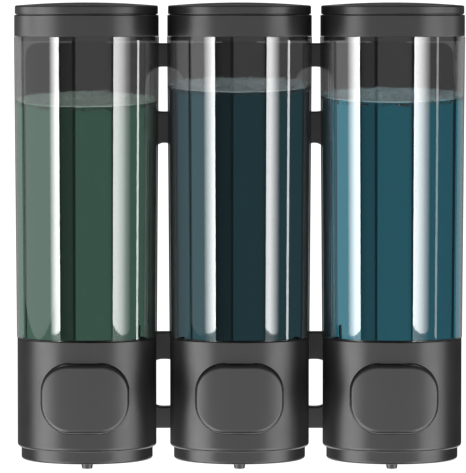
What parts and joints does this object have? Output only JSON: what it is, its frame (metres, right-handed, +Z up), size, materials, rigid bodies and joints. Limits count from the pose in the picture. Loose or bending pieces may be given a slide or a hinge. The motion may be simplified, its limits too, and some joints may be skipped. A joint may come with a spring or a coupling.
{
  "type": "wall mounted soap dispenser",
  "caption": "Wall mounted soap dispenser: smoked tube chambers with lift-off lids over push button pump housings, side by side on a joining wall frame.",
  "frame": {"origin": "centre of the wall screw pattern, in the plane of the wall", "axes": "+Y into the wall, the front faces -Y, +X to the right when facing the front, +Z up"},
  "size_m": [0.2004, 0.0761, 0.2078],
  "materials": {
    "frame_abs": "matte",
    "black_abs": "satin",
    "black_button": "matte",
    "smoked_tank": "polished",
    "green_soap": "gloss",
    "dark_teal_soap": "gloss",
    "blue_teal_soap": "gloss",
    "silicone": "satin",
    "pump_plastic": "satin",
    "piston_plastic": "satin",
    "spring_steel": "satin",
    "screw_steel": "satin"
  },
  "bodies": {
    "frame": {"wall_frame": "frame_abs"},
    "unit_left": {"tank_left": "smoked_tank", "soap_left": "green_soap", "collar_left": "black_abs", "tank_gasket_left": "silicone", "housing_left": "black_abs", "base_cover_left": "black_abs", "base_screws_left": "screw_steel", "pump_body_left": "pump_plastic", "pump_screws_left": "screw_steel", "inlet_valve_left": "silicone", "outlet_valve_left": "silicone", "nozzle_left": "black_abs", "return_spring_left": "spring_steel"},
    "lid_left": {"lid_left": "black_abs", "lid_seal_left": "silicone"},
    "button_left": {"button_left": "black_button", "piston_left": "piston_plastic", "piston_seal_left": "silicone"},
    "unit_middle": {"tank_middle": "smoked_tank", "soap_middle": "dark_teal_soap", "collar_middle": "black_abs", "tank_gasket_middle": "silicone", "housing_middle": "black_abs", "base_cover_middle": "black_abs", "base_screws_middle": "screw_steel", "pump_body_middle": "pump_plastic", "pump_screws_middle": "screw_steel", "inlet_valve_middle": "silicone", "outlet_valve_middle": "silicone", "nozzle_middle": "black_abs", "return_spring_middle": "spring_steel"},
    "lid_middle": {"lid_middle": "black_abs", "lid_seal_middle": "silicone"},
    "button_middle": {"button_middle": "black_button", "piston_middle": "piston_plastic", "piston_seal_middle": "silicone"},
    "unit_right": {"tank_right": "smoked_tank", "soap_right": "blue_teal_soap", "collar_right": "black_abs", "tank_gasket_right": "silicone", "housing_right": "black_abs", "base_cover_right": "black_abs", "base_screws_right": "screw_steel", "pump_body_right": "pump_plastic", "pump_screws_right": "screw_steel", "inlet_valve_right": "silicone", "outlet_valve_right": "silicone", "nozzle_right": "black_abs", "return_spring_right": "spring_steel"},
    "lid_right": {"lid_right": "black_abs", "lid_seal_right": "silicone"},
    "button_right": {"button_right": "black_button", "piston_right": "piston_plastic", "piston_seal_right": "silicone"}
  },
  "joints": [
    {"name": "unit_lift_left", "type": "slide", "parent": "frame", "child": "unit_left", "axis": [0, 0, 1], "range_m": [0, 0.018]},
    {"name": "lid_lift_left", "type": "slide", "parent": "unit_left", "child": "lid_left", "axis": [0, 0, 1], "range_m": [0, 0.04]},
    {"name": "button_press_left", "type": "slide", "parent": "unit_left", "child": "button_left", "axis": [0, 1, 0], "range_m": [0, 0.007], "stiffness_N_per_m": 900, "springref_m": -0.006, "deforming": ["return_spring_left"]},
    {"name": "unit_lift_middle", "type": "slide", "parent": "frame", "child": "unit_middle", "axis": [0, 0, 1], "range_m": [0, 0.018]},
    {"name": "lid_lift_middle", "type": "slide", "parent": "unit_middle", "child": "lid_middle", "axis": [0, 0, 1], "range_m": [0, 0.04]},
    {"name": "button_press_middle", "type": "slide", "parent": "unit_middle", "child": "button_middle", "axis": [0, 1, 0], "range_m": [0, 0.007], "stiffness_N_per_m": 900, "springref_m": -0.006, "deforming": ["return_spring_middle"]},
    {"name": "unit_lift_right", "type": "slide", "parent": "frame", "child": "unit_right", "axis": [0, 0, 1], "range_m": [0, 0.018]},
    {"name": "lid_lift_right", "type": "slide", "parent": "unit_right", "child": "lid_right", "axis": [0, 0, 1], "range_m": [0, 0.04]},
    {"name": "button_press_right", "type": "slide", "parent": "unit_right", "child": "button_right", "axis": [0, 1, 0], "range_m": [0, 0.007], "stiffness_N_per_m": 900, "springref_m": -0.006, "deforming": ["return_spring_right"]}
  ]
}
